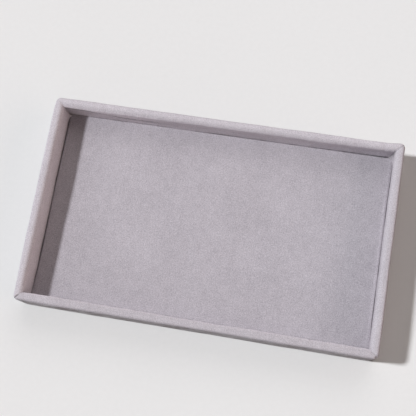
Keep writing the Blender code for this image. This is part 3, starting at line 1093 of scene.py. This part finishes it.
def mottled(name):
    """Material of the boards, foam, felt or brads: layered noise in its tones, roughness and bump."""
    tones, sizes, weights, stretch, roughness, bump = MOTTLED[name]
    material, tree, shader = new_material(name)
    place = add_node(tree, "ShaderNodeTexCoord").outputs["Object"]
    layers = [noise_layer(tree, place, size, stretch, MOTTLE_DETAIL) for size in sizes]
    tone = weighted(tree, zip(layers, weights))
    set_surface(tree, shader, two_tone(tree, tone, tones), layers[0], roughness, tone, bump)
    set_inputs(tree, shader, MOTTLED_LOOKS.get(name, {}))
    return material


def dress(obj, material):
    """Give an object one material in every slot."""
    slots = obj.data.materials
    if len(slots) == 0:
        slots.append(material)
    for index in range(len(slots)):
        slots[index] = material


def dress_cad(nodes):
    """Procedural materials for the CAD pieces that stay: boards and brads."""
    fibreboard, greyboard, steel = (mottled(name) for name in ("fibreboard", "greyboard", "brad_steel"))
    for name, obj in nodes.items():
        if name == "floor_panel_board":
            dress(obj, greyboard)
        elif name.endswith("_board"):
            dress(obj, fibreboard)
        elif "_brad_" in name:
            dress(obj, steel)


def mix_by_rays(tree, lighting, seen, output):
    """One shader for the rays of diffuse light, and one for camera, glossy and transmission rays."""
    rays = add_node(tree, "ShaderNodeLightPath").outputs
    total = add_math(tree, "ADD", rays["Is Camera Ray"], rays["Is Glossy Ray"])
    total = add_math(tree, "ADD", total, rays["Is Transmission Ray"], use_clamp=True)
    inputs = {0: total, 1: lighting.outputs[0], 2: seen.outputs[0]}
    mix = add_node(tree, "ShaderNodeMixShader", inputs)
    set_inputs(tree, tree.nodes[output], {"Surface": mix.outputs[0]})


def stage_floor():
    """Plain pale floor. It bounces little light back, so the tray is lit as the lamps light it."""
    ring = []
    for number in range(FLOOR_SIDES):
        turn = 2 * math.pi * number / FLOOR_SIDES
        ring.append((FLOOR_RADIUS * math.cos(turn), FLOOR_RADIUS * math.sin(turn), -FLOOR_DROP))
    floor = make_mesh("studio_floor", ring, [list(range(FLOOR_SIDES))])
    material, tree, shader = new_material("studio_floor")
    place = add_node(tree, "ShaderNodeTexCoord").outputs["Object"]
    layers = [(noise_layer(tree, place, size, EVEN, detail), weight) for size, detail, weight in FLOOR_LAYERS]
    set_inputs(tree, shader, {"Base Color": two_tone(tree, weighted(tree, layers), FLOOR), **FLOOR_LOOK})
    bounce = add_node(tree, "ShaderNodeBsdfDiffuse", {"Color": FLOOR_BOUNCE})
    mix_by_rays(tree, bounce, shader, "Material Output")
    dress(floor, material)


def studio_world():
    """Even light from all round, with a pale background where it is seen."""
    world = bpy.data.worlds.new("studio")
    world.use_nodes = True
    tree = world.node_tree
    light = tree.nodes["Background"]
    light.inputs["Color"].default_value = WORLD_LIGHT
    backdrop = add_node(tree, "ShaderNodeBackground", {"Color": BACKDROP})
    mix_by_rays(tree, light, backdrop, "World Output")
    bpy.context.scene.world = world


def add_lamps():
    """The studio lamps, far off, each shining at the tray."""
    for name, (azimuth, elevation, size, strength, color) in LAMPS.items():
        lamp = bpy.data.lights.new(name, "SUN")
        lamp.angle = math.radians(size)
        lamp.energy = strength
        lamp.color = color
        obj = add_object(name, lamp)
        turn, rise = math.radians(azimuth), math.radians(elevation)
        towards = Vector((math.cos(turn) * math.cos(rise), math.sin(turn) * math.cos(rise), math.sin(rise)))
        obj.location = towards
        obj.rotation_euler = towards.to_track_quat("Z", "Y").to_euler()


def add_camera():
    """Camera at the photograph's viewing angle."""
    camera = bpy.data.cameras.new("camera")
    camera.sensor_width = SENSOR_WIDTH
    camera.lens = CAMERA_LENS
    obj = add_object("camera", camera)
    obj.location = CAMERA_LOCATION
    obj.rotation_euler = Euler([math.radians(angle) for angle in CAMERA_ROTATION], "XYZ")
    bpy.context.scene.camera = obj


def build():
    """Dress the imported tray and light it."""
    foam, felt = mottled("foam"), mottled("felt")
    for wall in walls():
        # Each wall's velvet, with painted light and shade on its faces
        wall_velvet = velvet(f"{wall.side}_wall_velvet", WALL_VELVET, WALL_STRETCH, FACE_LIGHT_TONES[wall.side])
        dress(wall_cover(wall), wall_velvet)
        dress(rim_foam(wall), foam)
    dress(floor_panel(), velvet("panel_velvet", PANEL_VELVET, PANEL_STRETCH))
    dress(floor_foam(), foam)
    dress(felt_lining(), felt)
    dress_cad(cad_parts)
    stage_floor()
    studio_world()
    add_lamps()
    add_camera()
    bpy.context.scene.view_settings.view_transform = "Standard"


build()
